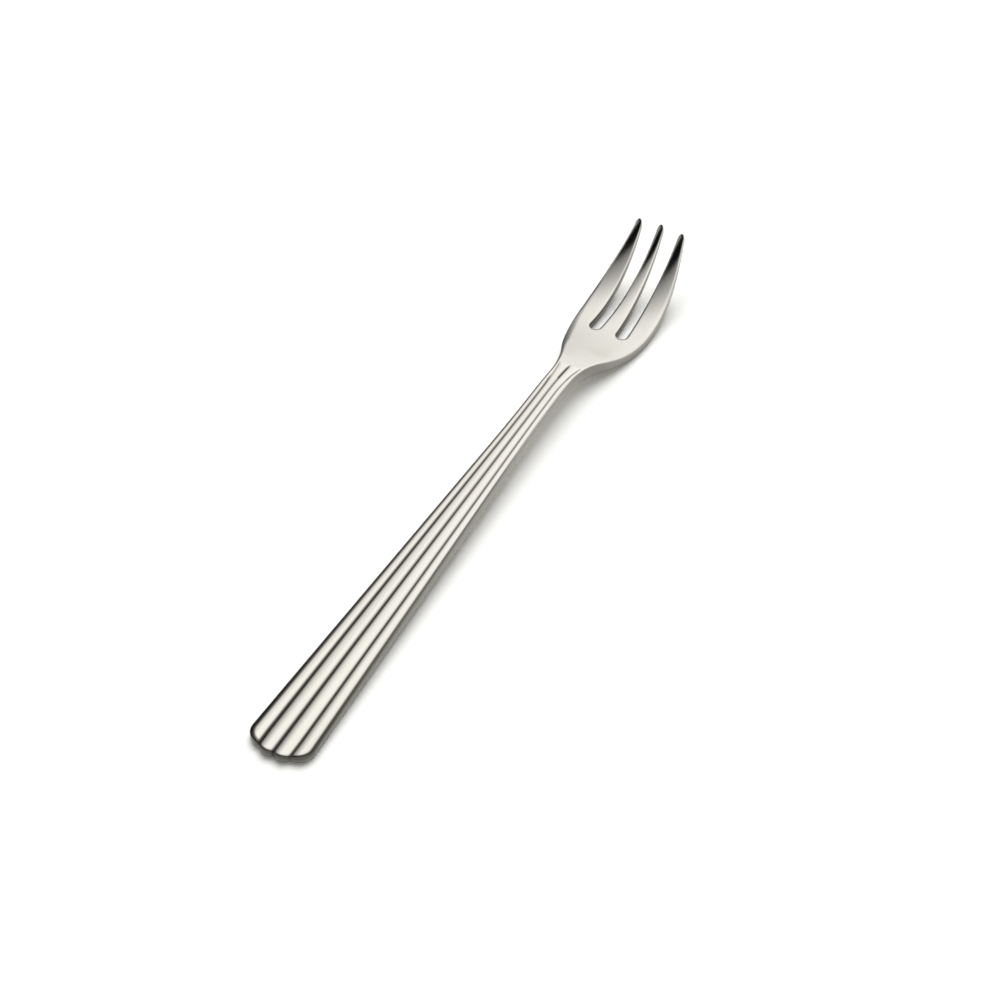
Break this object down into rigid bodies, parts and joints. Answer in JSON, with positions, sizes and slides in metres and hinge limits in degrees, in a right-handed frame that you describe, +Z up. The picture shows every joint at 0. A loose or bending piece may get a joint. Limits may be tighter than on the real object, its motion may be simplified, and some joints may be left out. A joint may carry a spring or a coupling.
{
  "type": "oyster fork",
  "caption": "Slim metal oyster fork with a ribbed tapering handle, scalloped butt, narrow neck and a small upswept head with pointed tines, for picking shellfish from the shell.",
  "frame": {"origin": "middle of the fork's length and width, on the surface that it lies on", "axes": "+Y from the butt towards the tines, +X to the right seen from the butt, +Z up, the way the tines sweep"},
  "size_m": [0.016, 0.15, 0.0131],
  "materials": {
    "head_steel": "bright polished stainless steel",
    "handle_steel": "bright polished stainless steel",
    "braze_metal": "silver brazing alloy, as flowed"
  },
  "bodies": {
    "root": {"fork_head": "head_steel", "handle": "handle_steel", "neck_braze": "braze_metal"}
  },
  "joints": []
}
